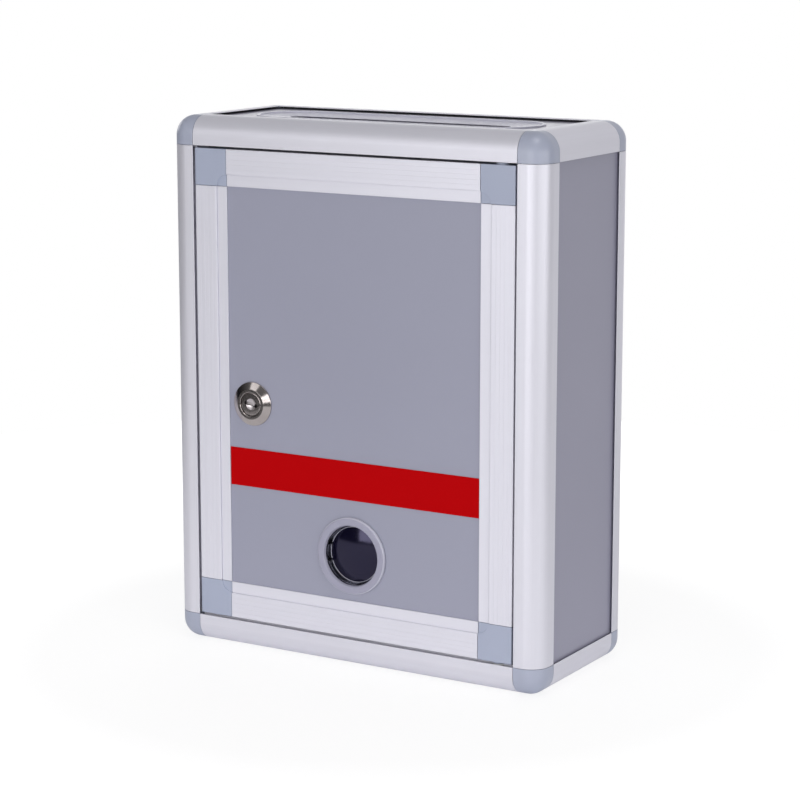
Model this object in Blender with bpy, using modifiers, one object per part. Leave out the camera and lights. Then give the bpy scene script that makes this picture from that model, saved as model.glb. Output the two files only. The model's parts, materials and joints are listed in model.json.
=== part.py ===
# Wall or desk suggestion box: an aluminium profile cabinet with a hinged, locked front door.
# Units are metres, +Z is up and the door faces -Y. The origin is under the middle of the box.

import math

import bmesh
import bpy
from mathutils import Matrix, Vector

# Cabinet
width = 0.212
depth = 0.092
height = 0.270
gap = 0.0003
seat_gap = 0.0001
overrun = 0.002

# Quarter round profile of the cabinet's twelve edges
profile_leg = 0.0144
edge_radius = 0.010
profile_wall = 0.0014
outer_lip = 0.0008
groove_width = 0.0030
inner_lip = 0.0012
groove_depth = 0.0044
panel_thickness = 0.0020
plug_length = 0.008
round_steps = 8

# Door frame profile
door_gap = 0.0012
door_recess = 0.0005
frame_width = 0.0184
frame_depth = 0.0078
frame_wall = 0.0012
frame_lip_width = 0.0058
frame_lip_drop = 0.0003
frame_lip = 0.0007
frame_rear_lip = 0.0010
frame_plug_length = 0.010
door_panel_thickness = 0.0020
corner_step_radius = 0.006
flute_count = 5
flute_width = 0.0006
flute_depth = 0.0002
flute_margin = 0.0016

# Stop rib behind the free edge of the door
stop_thickness = 0.0014
stop_overlap = 0.0018

# Door pivots
pivot_inset = 0.0086
pivot_radius = 0.0015
pivot_engagement = 0.007
pivot_rise = 0.0045
pivot_boss_radius = 0.0031
bush_radius = 0.0030

# Cam lock
lock_inset = 0.014
lock_above_band = 0.0232
bezel_radius = 0.0111
bezel_face_radius = 0.0077
bezel_rim = 0.0006
bezel_height = 0.0023
barrel_radius = 0.0078
barrel_length = 0.0156
plug_radius = 0.0058
plug_recess = 0.0005
keyway_length = 0.0074
keyway_width = 0.0016
keyway_depth = 0.006
nut_across_flats = 0.0195
nut_thickness = 0.0030
tail_side = 0.0056
cam_thickness = 0.0015
cam_width = 0.0100
cam_overlap = 0.0040
crank_start = 0.0092
crank_run = 0.0060
washer_radius = 0.0060
washer_thickness = 0.0008
screw_radius = 0.0018
screw_length = 0.0100
screw_head_radius = 0.0040
screw_head_height = 0.0022
driver_slot_width = 0.0009
driver_slot_depth = 0.0010

# Round window
window_height = 0.057
window_flange_radius = 0.0195
window_flange_thickness = 0.0015
window_flange_round = 0.0007
window_mouth_radius = 0.0156
window_throat_radius = 0.0134
window_throat_depth = 0.0050
window_collar_radius = 0.0159
window_collar_depth = 0.0063
window_bead = 0.0010
window_bead_height = 0.0012
lens_radius = 0.0141
tab_width = 0.0070
tab_slit = 0.0012

# Printed band on the door
band_above_window = 0.0085
band_height = 0.0195
band_thickness = 0.0003

# Letter slot insert in the top
insert_length = 0.159
insert_width = 0.044
insert_flange_rise = 0.0008
insert_rim = 0.0018
insert_ledge = 0.0040
insert_dish_drop = 0.0014
insert_floor = 0.0012
slot_width = 0.0100
skirt_depth = 0.0100
skirt_wall = 0.0012
insert_step = 0.0002
insert_step_count = 3

# Hanging holes in the back
hanger_spacing = 0.120
hanger_drop = 0.042
hanger_head_radius = 0.0045
hanger_neck_radius = 0.0025
hanger_neck_rise = 0.0090

# Facets of round pieces, and how close points are welded
large_steps = 40
small_steps = 24
sharp_angle = 35
weld = 0.000001
turned_weld = 0.00001

# Derived places, all from the sizes above
half_width = width / 2
lock_proud = bezel_height - (door_recess + frame_lip_drop + frame_lip)
front = (lock_proud - depth) / 2
back = front + depth
middle = (front + back) / 2
panel_recess = outer_lip + groove_width - panel_thickness - gap
tube_side = profile_leg - groove_depth
panel_inset = tube_side + gap
ear_depth = outer_lip + groove_width + inner_lip

door_left = profile_leg + door_gap - half_width
door_right = -door_left
door_bottom = profile_leg + door_gap
door_top = height - door_bottom
door_front = front + door_recess
door_back = door_front + frame_depth
frame_flat = frame_width - frame_lip_width
door_groove_front = frame_lip_drop + frame_lip
door_groove_back = door_groove_front + door_panel_thickness + 2 * gap
door_panel_front = door_front + door_groove_front + gap
door_panel_back = door_panel_front + door_panel_thickness

stop_front = door_back + gap
stop_tip = door_left + stop_overlap
pivot_x = door_right - pivot_inset
pivot_y = door_front + frame_depth / 2
bush_height = groove_depth + profile_wall

band_bottom = window_height + window_flange_radius + band_above_window
lock_height = band_bottom + band_height + lock_above_band
lock_x = door_left + frame_width + lock_inset
lock_front = door_panel_front - gap - bezel_height
lock_seat = door_panel_front - gap
barrel_end = lock_seat + barrel_length
cam_front = barrel_end + gap
cam_back = cam_front + cam_thickness
hook_front = stop_front + stop_thickness + gap
cam_length = lock_x - stop_tip + cam_overlap

panel_top_height = height - panel_recess


def srgb(red, green, blue):
    """Linear colour of an 8 bit display colour."""
    def linear(value):
        share = value / 255
        return share / 12.92 if share <= 0.04045 else ((share + 0.055) / 1.055) ** 2.4
    return linear(red), linear(green), linear(blue), 1.0


def clear_scene():
    for item in list(bpy.context.scene.objects):
        bpy.data.objects.remove(item, do_unlink=True)


def make_collection(name):
    group = bpy.data.collections.new(name)
    bpy.context.scene.collection.children.link(group)
    return group


def make_material(name, colour, roughness, metallic, alpha=1.0):
    material = bpy.data.materials.new(name)
    material.use_nodes = True
    material.diffuse_color = colour
    shader = material.node_tree.nodes["Principled BSDF"]
    shader.inputs["Base Color"].default_value = colour
    shader.inputs["Roughness"].default_value = roughness
    shader.inputs["Metallic"].default_value = metallic
    shader.inputs["Alpha"].default_value = alpha
    return material


FINISHES = {
    "aluminium": (srgb(214, 214, 222), 0.38, 0.85),
    "grey_plastic": (srgb(160, 166, 182), 0.45, 0.0),
    "grey_paint": (srgb(150, 150, 164), 0.5, 0.1),
    "slot_plastic": (srgb(172, 172, 186), 0.45, 0.0),
    "red_print": (srgb(190, 0, 8), 0.45, 0.0),
    "clear_plastic": (srgb(225, 228, 238), 0.12, 0.0, 0.35),
    "chrome": (srgb(214, 210, 210), 0.12, 1.0),
    "steel": (srgb(150, 150, 155), 0.35, 1.0),
    "white_plastic": (srgb(225, 225, 228), 0.4, 0.0),
}


def add_part(name, mesh, finish):
    """Adds one sub-part with its own material to the box."""
    mesh.materials.clear()
    mesh.materials.append(make_material(name, *FINISHES[finish]))
    part = bpy.data.objects.new(name, mesh)
    parts.objects.link(part)
    return part


def add_cutter(name, mesh):
    cutter = bpy.data.objects.new(name, mesh)
    cutters.objects.link(cutter)
    cutter.hide_render = True
    cutter.display_type = "WIRE"
    return cutter


def boolean(part, operation, other):
    """Cuts or joins with an EXACT Boolean."""
    modifier = part.modifiers.new(other.name, "BOOLEAN")
    modifier.operation = operation
    modifier.object = other
    modifier.solver = "EXACT"


def evaluated_mesh(item):
    """The finished mesh of an object with its modifiers applied."""
    bpy.context.view_layer.update()
    graph = bpy.context.evaluated_depsgraph_get()
    return bpy.data.meshes.new_from_object(item.evaluated_get(graph))


def finish_mesh(bm, name):
    bmesh.ops.remove_doubles(bm, verts=bm.verts, dist=weld)
    bmesh.ops.recalc_face_normals(bm, faces=bm.faces)
    mesh = bpy.data.meshes.new(name)
    bm.to_mesh(mesh)
    bm.free()
    return mesh


def smooth(mesh):
    """Smooth shading on round faces, with the real edges kept sharp."""
    mesh.shade_smooth()
    mesh.set_sharp_from_angle(angle=math.radians(sharp_angle))
    return mesh


def box_mesh(name, low, high):
    low, high = Vector(low), Vector(high)
    bm = bmesh.new()
    size = Matrix.Diagonal((*(high - low), 1.0))
    bmesh.ops.create_cube(bm, size=1.0, matrix=Matrix.Translation((low + high) / 2) @ size)
    return finish_mesh(bm, name)


def cylinder_mesh(name, radius, bottom, top, steps=small_steps):
    """An upright cylinder about the local Z axis."""
    bm = bmesh.new()
    place = Matrix.Translation((0, 0, (bottom + top) / 2))
    bmesh.ops.create_cone(bm, cap_ends=True, segments=steps, radius1=radius, radius2=radius,
                          depth=top - bottom, matrix=place)
    return smooth(finish_mesh(bm, name))


def outline_mesh(name, outlines, thickness):
    """A flat outline and its holes, extruded evenly to both sides of the local XY plane."""
    curve = bpy.data.curves.new(name, "CURVE")
    curve.dimensions = "2D"
    curve.fill_mode = "BOTH"
    curve.extrude = thickness / 2
    for points in outlines:
        spline = curve.splines.new("POLY")
        spline.points.add(len(points) - 1)
        spline.use_cyclic_u = True
        for target, (x, y) in zip(spline.points, points):
            target.co = (x, y, 0, 1)
    source = bpy.data.objects.new(name, curve)
    bpy.context.scene.collection.objects.link(source)
    mesh = evaluated_mesh(source)
    bpy.data.objects.remove(source, do_unlink=True)
    bm = bmesh.new()
    bm.from_mesh(mesh)
    return smooth(finish_mesh(bm, name))


def turned(name, profile, finish, closed, steps=large_steps):
    """A profile of (radius, height) points turned about the local Z axis by a Screw modifier."""
    mesh = bpy.data.meshes.new(name)
    count = len(profile)
    edges = [(i, (i + 1) % count) for i in range(count if closed else count - 1)]
    mesh.from_pydata([(radius, 0, level) for radius, level in profile], edges, [])
    part = add_part(name, mesh, finish)
    screw = part.modifiers.new("turn", "SCREW")
    screw.steps = steps
    screw.render_steps = steps
    screw.use_merge_vertices = True
    screw.merge_threshold = turned_weld
    screw.use_smooth_shade = False
    return part


def circle_points(x, y, radius, steps):
    turn = 2 * math.pi / steps
    return [(x + radius * math.cos(turn * i), y + radius * math.sin(turn * i)) for i in range(steps)]


def racetrack_points(half_straight, radius, steps):
    """A flat ring of two half circles joined by straight sides."""
    points = []
    for side in (1, -1):
        for i in range(steps + 1):
            angle = (math.pi if side < 0 else 0) - math.pi / 2 + math.pi * i / steps
            points.append((side * half_straight + radius * math.cos(angle), radius * math.sin(angle)))
    return points


def axes(origin, across, along):
    """A placement whose local X and Y axes point across and along."""
    across, along = Vector(across), Vector(along)
    turn = Matrix((across, along, across.cross(along))).transposed()
    return Matrix.Translation(Vector(origin)) @ turn.to_4x4()


def put(part, placement):
    part.location = placement.to_translation()
    part.rotation_euler = placement.to_euler()
    return part


def hang_on(pivot, pieces):
    """Parents pieces to a pivot without moving them."""
    for piece in pieces:
        piece.parent = pivot
        piece.matrix_parent_inverse = Matrix.Translation(-pivot.location)


def rounded_corner(inset, reach):
    """The corner outline at an inset from the outer face, out to a reach along both faces."""
    radius = edge_radius - inset
    start = -math.acos(min(0.0, reach - edge_radius) / radius)
    sweep = -3 * math.pi / 2 - 2 * start
    points = [(edge_radius + radius * math.cos(start + sweep * i / round_steps),
               edge_radius + radius * math.sin(start + sweep * i / round_steps))
              for i in range(round_steps + 1)]
    if reach > edge_radius:
        points = [(reach, inset)] + points + [(inset, reach)]
    return points


def profile_outlines():
    """Section of a quarter round profile: a round corner tube with a grooved ear along each face."""
    groove_back = outer_lip + groove_width
    ear = [(outer_lip, profile_leg), (outer_lip, tube_side), (groove_back, tube_side),
           (groove_back, profile_leg), (ear_depth, profile_leg), (ear_depth, tube_side)]
    outer = rounded_corner(0, profile_leg)
    outer += ear
    outer.append((tube_side, tube_side))
    outer += [(y, x) for x, y in reversed(ear)]
    chamber = rounded_corner(profile_wall, tube_side - profile_wall)
    chamber.append((tube_side - profile_wall, tube_side - profile_wall))
    return [outer, chamber]


def make_profiles():
    """The twelve edge profiles, cut to length between the corner caps."""
    cut_back = 2 * (profile_leg + gap)
    section = profile_outlines()
    post = outline_mesh("post", section, height - cut_back)
    long_rail = outline_mesh("long_rail", section, width - cut_back)
    short_rail = outline_mesh("short_rail", section, depth - cut_back)
    to_left, to_right = (-1, 0, 0), (1, 0, 0)
    to_front, to_back = (0, -1, 0), (0, 1, 0)
    up, down = (0, 0, 1), (0, 0, -1)
    half_height = height / 2
    places = {
        "post_front_left": (post, (-half_width, front, half_height), to_right, to_back),
        "post_front_right": (post, (half_width, front, half_height), to_back, to_left),
        "post_rear_left": (post, (-half_width, back, half_height), to_front, to_right),
        "post_rear_right": (post, (half_width, back, half_height), to_left, to_front),
        "rail_top_front": (long_rail, (0, front, height), down, to_back),
        "rail_bottom_front": (long_rail, (0, front, 0), to_back, up),
        "rail_top_rear": (long_rail, (0, back, height), to_front, down),
        "rail_bottom_rear": (long_rail, (0, back, 0), up, to_front),
        "rail_top_left": (short_rail, (-half_width, middle, height), to_right, down),
        "rail_top_right": (short_rail, (half_width, middle, height), down, to_left),
        "rail_bottom_left": (short_rail, (-half_width, middle, 0), up, to_right),
        "rail_bottom_right": (short_rail, (half_width, middle, 0), to_left, up),
    }
    return {name: put(add_part(name, mesh.copy(), "aluminium"), axes(origin, across, along))
            for name, (mesh, origin, across, along) in places.items()}


def add_stop_rib(post):
    """Joins the rib that the free edge of the door closes against."""
    low = (tube_side - profile_wall / 2 - half_width, stop_front, profile_leg + gap)
    high = (stop_tip, stop_front + stop_thickness, height - profile_leg - gap)
    boolean(post, "UNION", add_cutter("stop_rib_shape", box_mesh("stop_rib_shape", low, high)))


def corner_cap_mesh():
    """A cast corner: a rounded cube with a plug for each profile and slots for the panels."""
    bm = bmesh.new()
    half_leg = profile_leg / 2
    bmesh.ops.create_cube(bm, size=profile_leg, matrix=Matrix.Translation((half_leg, half_leg, half_leg)))
    rounded = [edge for edge in bm.edges
               if sum(1 for i in range(3) if max(v.co[i] for v in edge.verts) < half_leg) == 2]
    bmesh.ops.bevel(bm, geom=rounded, offset=edge_radius, segments=round_steps, profile=0.5,
                    affect="EDGES", clamp_overlap=False)
    cap = add_cutter("corner_cap_shape", finish_mesh(bm, "corner_cap_shape"))
    reach = tube_side - profile_wall - gap
    plug_outline = rounded_corner(profile_wall + gap, reach)
    plug_outline.append((reach, reach))
    plug = outline_mesh("corner_plug", [plug_outline], plug_length + overrun)
    groove_back = outer_lip + groove_width
    far = profile_leg + overrun
    middle_of_plug = profile_leg + (plug_length - overrun) / 2
    for i in range(3):
        origin = [0, 0, 0]
        origin[i] = middle_of_plug
        across, along = [0, 0, 0], [0, 0, 0]
        across[(i + 1) % 3] = 1
        along[(i + 2) % 3] = 1
        boolean(cap, "UNION", put(add_cutter(f"corner_plug_{i}", plug.copy()), axes(origin, across, along)))
    for i in range(3):
        low, high = [tube_side] * 3, [far] * 3
        low[i], high[i] = outer_lip, groove_back
        boolean(cap, "DIFFERENCE", add_cutter(f"corner_slot_{i}", box_mesh(f"corner_slot_{i}", low, high)))
    mesh = smooth(evaluated_mesh(cap))
    bpy.data.objects.remove(cap, do_unlink=True)
    return mesh


def make_corner_caps():
    cap = corner_cap_mesh()
    for level, up in (("bottom", 1), ("top", -1)):
        for row, inward in (("front", 1), ("rear", -1)):
            for side, across in (("left", 1), ("right", -1)):
                origin = (-across * half_width, front if inward > 0 else back, 0 if up > 0 else height)
                local_x, local_y = Vector((across, 0, 0)), Vector((0, inward, 0))
                if local_x.cross(local_y).z * up < 0:
                    local_x, local_y = local_y, local_x
                part = add_part(f"corner_{level}_{row}_{side}", cap.copy(), "grey_plastic")
                put(part, axes(origin, local_x, local_y))


def make_panels():
    """The fixed panels, held in the profiles' grooves."""
    x_in, y_in = half_width - panel_inset, panel_inset
    outer_x = half_width - panel_recess
    inner_x = outer_x - panel_thickness
    low_z, high_z = panel_inset, height - panel_inset
    side_low, side_high = (inner_x, front + y_in, low_z), (outer_x, back - y_in, high_z)
    add_part("panel_right", box_mesh("panel_right", side_low, side_high), "grey_paint")
    side_low, side_high = (-outer_x, front + y_in, low_z), (-inner_x, back - y_in, high_z)
    add_part("panel_left", box_mesh("panel_left", side_low, side_high), "grey_paint")
    floor_low = (-x_in, front + y_in, panel_recess)
    floor_high = (x_in, back - y_in, panel_recess + panel_thickness)
    add_part("panel_bottom", box_mesh("panel_bottom", floor_low, floor_high), "grey_paint")
    make_top_panel(x_in, y_in)
    make_back_panel(x_in, low_z, high_z)


def rectangle(x, y):
    return [(-x, -y), (x, -y), (x, y), (-x, y)]


def make_top_panel(x_in, y_in):
    """The top panel, opened for the letter slot insert."""
    half_straight = (insert_length - insert_width) / 2
    hole = racetrack_points(half_straight, insert_width / 2 - insert_ledge + gap, round_steps * 2)
    sheet = outline_mesh("panel_top", [rectangle(x_in, depth / 2 - y_in), hole], panel_thickness)
    part = add_part("panel_top", sheet, "grey_paint")
    part.location = (0, middle, panel_top_height - panel_thickness / 2)


def keyhole(x, y):
    """Outline of a hanging hole: a round entry with a narrow neck above it."""
    spread = math.asin(hanger_neck_radius / hanger_head_radius)
    start, sweep = math.pi / 2 + spread, 2 * (math.pi - spread)
    entry = [(x + hanger_head_radius * math.cos(start + sweep * i / small_steps),
              y + hanger_head_radius * math.sin(start + sweep * i / small_steps))
             for i in range(small_steps + 1)]
    top = y + hanger_neck_rise
    neck = [(x + hanger_neck_radius * math.cos(math.pi * i / round_steps),
             top + hanger_neck_radius * math.sin(math.pi * i / round_steps))
            for i in range(round_steps + 1)]
    return entry + neck


def make_back_panel(x_in, low_z, high_z):
    """The back panel with its two hanging holes."""
    centre_z = (low_z + high_z) / 2
    hanger_height = height - hanger_drop
    holes = [keyhole(side * hanger_spacing / 2, hanger_height - centre_z) for side in (-1, 1)]
    sheet = outline_mesh("panel_back", [rectangle(x_in, (high_z - low_z) / 2)] + holes, panel_thickness)
    part = add_part("panel_back", sheet, "grey_paint")
    put(part, axes((0, back - panel_recess - panel_thickness / 2, centre_z), (1, 0, 0), (0, 0, 1)))


def insert_profile():
    """Half section of the letter slot insert as (distance from its centre line, height) points."""
    outer = insert_width / 2
    flange_bottom = panel_top_height + seat_gap
    flange_top = panel_top_height + insert_flange_rise
    wall = outer - insert_ledge
    slot = slot_width / 2
    rim_inside = outer - insert_rim
    dish_top = flange_top - 2 * insert_step
    dish_low = flange_top - insert_dish_drop
    skirt_bottom = dish_low - skirt_depth
    points = [(outer - insert_step, flange_top), (outer, flange_top - insert_step),
              (outer, flange_bottom), (wall, flange_bottom), (wall, dish_low - insert_floor),
              (slot + skirt_wall, dish_low - insert_floor), (slot + skirt_wall, skirt_bottom),
              (slot, skirt_bottom), (slot, dish_low)]
    run = (rim_inside - insert_step - slot) / (insert_step_count + 1)
    rise = (dish_top - dish_low) / (insert_step_count + 1)
    for i in range(1, insert_step_count + 1):
        level = dish_low + rise * i
        points += [(slot + run * i - insert_step, level - insert_step), (slot + run * i, level)]
    points += [(rim_inside - insert_step, dish_top), (rim_inside, flange_top)]
    return points


def make_slot_insert():
    """Sweeps the insert's section round a racetrack with two half turns and two straight runs."""
    half_straight = (insert_length - insert_width) / 2
    profile = insert_profile()
    count = len(profile)
    bm = bmesh.new()
    verts = [bm.verts.new((half_straight, -reach, level)) for reach, level in profile]
    edges = [bm.edges.new((verts[i], verts[(i + 1) % count])) for i in range(count)]
    for side in (1, -1):
        end = bmesh.ops.spin(bm, geom=verts + edges, cent=(side * half_straight, 0, 0), axis=(0, 0, 1),
                             angle=math.pi, steps=round_steps * 2)["geom_last"]
        last = [item for item in end if isinstance(item, bmesh.types.BMEdge)]
        run = bmesh.ops.extrude_edge_only(bm, edges=last)["geom"]
        verts = [item for item in run if isinstance(item, bmesh.types.BMVert)]
        edges = [item for item in run if isinstance(item, bmesh.types.BMEdge)
                 and all(v in verts for v in item.verts)]
        bmesh.ops.translate(bm, verts=verts, vec=(-2 * side * half_straight, 0, 0))
    part = add_part("slot_insert", smooth(finish_mesh(bm, "slot_insert")), "slot_plastic")
    part.location = (0, middle, 0)


def frame_outlines():
    """Section of a door frame member: a fluted tube with a grooved edge for the door panel."""
    pitch = (frame_flat - 2 * flute_margin) / (flute_count - 1)
    outer = [(0, frame_depth), (0, 0)]
    for i in range(flute_count):
        centre = flute_margin + pitch * i
        outer += [(centre - flute_width / 2, 0), (centre, flute_depth), (centre + flute_width / 2, 0)]
    rear = door_groove_back + frame_rear_lip
    outer += [(frame_flat, 0), (frame_flat, frame_lip_drop), (frame_width, frame_lip_drop),
              (frame_width, door_groove_front), (frame_flat, door_groove_front),
              (frame_flat, door_groove_back), (frame_width, door_groove_back),
              (frame_width, rear), (frame_flat, rear), (frame_flat, frame_depth)]
    far_a, far_b = frame_flat - frame_wall, frame_depth - frame_wall
    chamber = [(frame_wall, frame_wall), (far_a, frame_wall), (far_a, far_b), (frame_wall, far_b)]
    return [outer, chamber]


def make_door_frame():
    """The door's two stiles and two rails."""
    section = frame_outlines()
    cut_back = 2 * (frame_width + gap)
    stile = outline_mesh("stile", section, door_top - door_bottom - cut_back)
    rail = outline_mesh("rail", section, door_right - door_left - cut_back)
    centre_z = (door_top + door_bottom) / 2
    places = {
        "door_stile_left": (stile, (door_left, door_front, centre_z), (1, 0, 0)),
        "door_stile_right": (stile, (door_right, door_front, centre_z), (-1, 0, 0)),
        "door_rail_top": (rail, (0, door_front, door_top), (0, 0, -1)),
        "door_rail_bottom": (rail, (0, door_front, door_bottom), (0, 0, 1)),
    }
    return [put(add_part(name, mesh.copy(), "aluminium"), axes(origin, inward, (0, 1, 0)))
            for name, (mesh, origin, inward) in places.items()]


def door_corner_mesh():
    """A square corner block with a stepped inner corner, a panel slot and two plugs."""
    block = add_cutter("door_corner_shape",
                       box_mesh("door_corner_shape", (0, 0, 0), (frame_width, frame_width, frame_depth)))
    low, high = frame_wall + gap, frame_flat - frame_wall - gap
    plug_back = frame_depth - frame_wall - gap
    start, end = frame_width - overrun, frame_width + frame_plug_length
    plug_x = box_mesh("door_plug_x", (start, low, low), (end, high, plug_back))
    plug_y = box_mesh("door_plug_y", (low, start, low), (high, end, plug_back))
    boolean(block, "UNION", add_cutter("door_plug_x", plug_x))
    boolean(block, "UNION", add_cutter("door_plug_y", plug_y))
    far = frame_width + overrun
    slot = box_mesh("door_corner_slot", (frame_flat, frame_flat, door_groove_front),
                    (far, far, door_groove_back))
    boolean(block, "DIFFERENCE", add_cutter("door_corner_slot", slot))
    step = cylinder_mesh("door_corner_step", corner_step_radius, -overrun, frame_lip_drop, large_steps)
    step_cutter = add_cutter("door_corner_step", step)
    step_cutter.location = (frame_width, frame_width, 0)
    boolean(block, "DIFFERENCE", step_cutter)
    mesh = smooth(evaluated_mesh(block))
    bpy.data.objects.remove(block, do_unlink=True)
    return mesh


def make_door_corners():
    """The door's corner blocks, with the pivot bosses on the hinge side."""
    mesh = door_corner_mesh()
    to_left, to_right = (-1, 0, 0), (1, 0, 0)
    up, down = (0, 0, 1), (0, 0, -1)
    blocks = {
        "door_corner_bottom_left": ((door_left, door_front, door_bottom), up, to_right),
        "door_corner_bottom_right": ((door_right, door_front, door_bottom), to_left, up),
        "door_corner_top_left": ((door_left, door_front, door_top), to_right, down),
        "door_corner_top_right": ((door_right, door_front, door_top), down, to_left),
    }
    pieces = []
    for name, (origin, across, along) in blocks.items():
        part = put(add_part(name, mesh.copy(), "grey_plastic"), axes(origin, across, along))
        pieces.append(part)
        if name.endswith("right"):
            add_pivot_boss(part, door_top if "top" in name else door_bottom, 1 if "top" in name else -1)
    return pieces


def add_pivot_boss(part, edge, up):
    """Joins the boss that fills the door gap, and drills the block for its pivot pin."""
    boss_end = edge + up * (door_gap - gap)
    boss_start = edge - up * overrun
    boss = cylinder_mesh(part.name + "_boss", pivot_boss_radius, min(boss_start, boss_end),
                         max(boss_start, boss_end))
    hole_start = edge - up * (pivot_engagement + gap)
    hole_end = boss_end + up * overrun
    hole = cylinder_mesh(part.name + "_hole", pivot_radius + gap, min(hole_start, hole_end),
                         max(hole_start, hole_end))
    for mesh, operation in ((boss, "UNION"), (hole, "DIFFERENCE")):
        shape = add_cutter(mesh.name, mesh)
        shape.location = (pivot_x, pivot_y, 0)
        boolean(part, operation, shape)


def make_pivots(rails):
    """The pivot pins of the door and the bushes that they turn in."""
    pins = []
    for level, edge, rail_edge, up in (("top", door_top, height - profile_leg, 1),
                                       ("bottom", door_bottom, profile_leg, -1)):
        pin_start, pin_end = edge - up * pivot_engagement, rail_edge + up * pivot_rise
        pin = cylinder_mesh("hinge_pin_" + level, pivot_radius, min(pin_start, pin_end),
                            max(pin_start, pin_end))
        pins.append(add_part("hinge_pin_" + level, pin, "steel"))
        pins[-1].location = (pivot_x, pivot_y, 0)
        make_bush("hinge_bush_" + level, rail_edge, up)
        hole_start, hole_end = rail_edge - up * overrun, rail_edge + up * (bush_height + gap)
        hole = cylinder_mesh("bush_hole_" + level, bush_radius + gap, min(hole_start, hole_end),
                             max(hole_start, hole_end))
        cutter = add_cutter(hole.name, hole)
        cutter.location = (pivot_x, pivot_y, 0)
        boolean(rails[f"rail_{level}_front"], "DIFFERENCE", cutter)
    return pins


def make_bush(name, rail_edge, up):
    """A plain plastic bush, flush with the edge of its rail."""
    far = rail_edge + up * bush_height
    top, bottom = max(rail_edge, far), min(rail_edge, far)
    bore = pivot_radius + gap
    profile = [(bore, top), (bush_radius, top), (bush_radius, bottom), (bore, bottom)]
    bush = turned(name, profile, "white_plastic", closed=True, steps=small_steps)
    bush.location = (pivot_x, pivot_y, 0)


def make_door_panel():
    """The door's sheet, drilled for the lock and the window."""
    inset = frame_flat + gap
    half_x = door_right - inset
    centre_z = (door_top + door_bottom) / 2
    half_z = (door_top - door_bottom) / 2 - inset
    lock_hole = circle_points(lock_x, lock_height - centre_z, barrel_radius + gap, large_steps)
    window_hole = circle_points(0, window_height - centre_z, window_collar_radius + gap, large_steps)
    sheet = outline_mesh("door_panel", [rectangle(half_x, half_z), lock_hole, window_hole],
                         door_panel_thickness)
    part = add_part("door_panel", sheet, "grey_paint")
    place = axes((0, (door_panel_front + door_panel_back) / 2, centre_z), (1, 0, 0), (0, 0, 1))
    return put(part, place)


def make_band():
    """The plain coloured band across the door's sheet."""
    half_x = door_right - frame_width - gap
    rear = door_panel_front - seat_gap
    band = box_mesh("red_band", (-half_x, rear - band_thickness, band_bottom),
                    (half_x, rear, band_bottom + band_height))
    return add_part("red_band", band, "red_print")


def face_front(part, x, z):
    """Turns a piece so that its local Z axis points out of the door, with its zero on the panel."""
    part.location = (x, door_panel_front, z)
    part.rotation_euler = (math.pi / 2, 0, 0)
    return part


def make_window():
    """The clear snap-in window: a flanged ring with two sprung tabs, and its lens."""
    seat = gap
    flange_front = seat + window_flange_thickness
    inner_round = window_mouth_radius + window_flange_round
    outer_round = window_flange_radius - window_flange_round
    shoulder = flange_front - window_throat_depth
    collar_end = flange_front - window_collar_depth
    bead_start = -door_panel_thickness - gap
    pocket = lens_radius + gap
    profile = [(inner_round, flange_front), (outer_round, flange_front),
               (window_flange_radius, flange_front - window_flange_round),
               (window_flange_radius, seat), (window_collar_radius, seat),
               (window_collar_radius, bead_start),
               (window_collar_radius + window_bead, bead_start),
               (window_collar_radius + window_bead, bead_start - window_bead_height / 2),
               (window_collar_radius, bead_start - window_bead_height),
               (window_collar_radius, collar_end), (pocket, collar_end), (pocket, shoulder),
               (window_throat_radius, shoulder), (window_mouth_radius, flange_front - window_flange_round)]
    ring = face_front(turned("window_ring", profile, "clear_plastic", closed=True), 0, window_height)
    start_y = door_panel_front + gap
    reach = window_collar_radius + window_bead + overrun
    for i, x_side in enumerate((-1, 1)):
        for j, z_side in enumerate((-1, 1)):
            near, far = sorted((x_side * (window_throat_radius - overrun), x_side * reach))
            z = window_height + z_side * (tab_width + tab_slit) / 2
            slit = box_mesh(f"window_slit_{i}{j}", (near, start_y, z - tab_slit / 2),
                            (far, door_panel_front - collar_end + overrun, z + tab_slit / 2))
            boolean(ring, "DIFFERENCE", add_cutter(slit.name, slit))
    lens = add_part("window_lens", cylinder_mesh("window_lens", lens_radius, collar_end, shoulder - gap,
                                                 large_steps), "clear_plastic")
    return [ring, face_front(lens, 0, window_height)]


def make_lock():
    """The cam lock: its barrel and nut stay on the door, the rest turns with the key."""
    seat = gap
    face = seat + bezel_height
    end = seat - barrel_length
    bore = plug_radius + gap
    barrel_profile = [(bore, face), (bezel_face_radius, face), (bezel_radius, seat + bezel_rim),
                      (bezel_radius, seat), (barrel_radius, seat), (barrel_radius, end), (bore, end)]
    barrel = turned("lock_barrel", barrel_profile, "chrome", closed=True)
    fixed = [face_front(barrel, lock_x, lock_height), make_lock_nut()]
    turning = [make_lock_plug(face, end), make_cam(), make_cam_washer(), make_cam_screw()]
    return fixed, turning


def make_lock_nut():
    """The hexagon nut that holds the barrel against the door's sheet."""
    bm = bmesh.new()
    nut_front = -door_panel_thickness - gap
    across_corners = nut_across_flats / math.cos(math.pi / 6)
    place = Matrix.Translation((0, 0, nut_front - nut_thickness / 2))
    bmesh.ops.create_cone(bm, cap_ends=True, segments=6, radius1=across_corners / 2,
                          radius2=across_corners / 2, depth=nut_thickness, matrix=place)
    nut = face_front(add_part("lock_nut", finish_mesh(bm, "lock_nut"), "steel"), lock_x, lock_height)
    hole = cylinder_mesh("nut_hole", barrel_radius + gap, nut_front - nut_thickness - overrun,
                         nut_front + overrun, large_steps)
    boolean(nut, "DIFFERENCE", face_front(add_cutter("nut_hole", hole), lock_x, lock_height))
    return nut


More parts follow.
